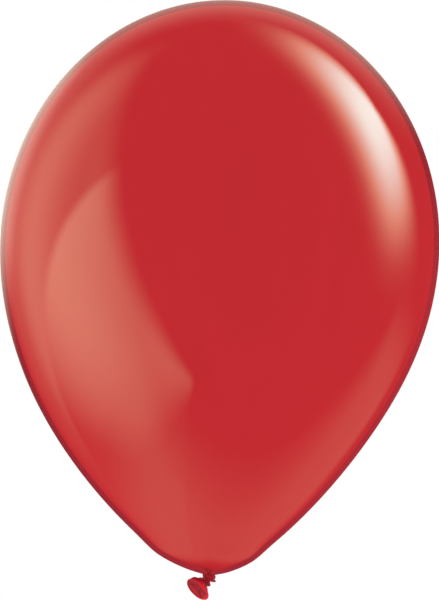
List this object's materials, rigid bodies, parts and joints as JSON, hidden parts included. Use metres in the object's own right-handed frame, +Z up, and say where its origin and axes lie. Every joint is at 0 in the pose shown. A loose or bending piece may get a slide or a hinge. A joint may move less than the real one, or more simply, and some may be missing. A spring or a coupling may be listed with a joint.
{
  "type": "latex balloon",
  "caption": "Inflated drop-shaped latex balloon, tied off below with an overhand knot and a short flared tail that ends in a rolled mouth bead.",
  "frame": {"origin": "middle of the pinched throat between the envelope and the knot, where a ribbon is tied", "axes": "+Z up the envelope's axis towards the crown, +X to the right and -Y to the front, the side the mouth leans to"},
  "size_m": [0.28, 0.28, 0.3838],
  "materials": {
    "blown_film": "glossy translucent stretched latex",
    "gathered_film": "semi-gloss pleated latex",
    "tail_film": "semi-gloss unstretched latex",
    "rolled_bead": "semi-gloss rolled latex bead"
  },
  "bodies": {
    "envelope": {"envelope": "blown_film"},
    "neck": {"neck_gather": "gathered_film"},
    "knot": {"knot_wrap": "gathered_film", "knot_tuck": "gathered_film"},
    "tail": {"tail_funnel": "tail_film", "lip_bead": "rolled_bead"}
  },
  "joints": [
    {"name": "neck_tilt", "type": "hinge", "parent": "envelope", "child": "neck", "pos_m": [0, 0, -0.0024], "axis": [0, 1, 0], "range_deg": [-20, 20], "stiffness_Nm_per_rad": 0.002},
    {"name": "neck_twist", "type": "hinge", "parent": "neck", "child": "knot", "pos_m": [0, 0, -0.0024], "axis": [0, 0, 1], "range_deg": [-180, 180], "stiffness_Nm_per_rad": 0.0002},
    {"name": "tail_flop", "type": "hinge", "parent": "knot", "child": "tail", "pos_m": [-0.00343, -0.00359, -0.00734], "axis": [0.6627, -0.7489, 0], "range_deg": [-5, 45], "stiffness_Nm_per_rad": 0.001}
  ]
}
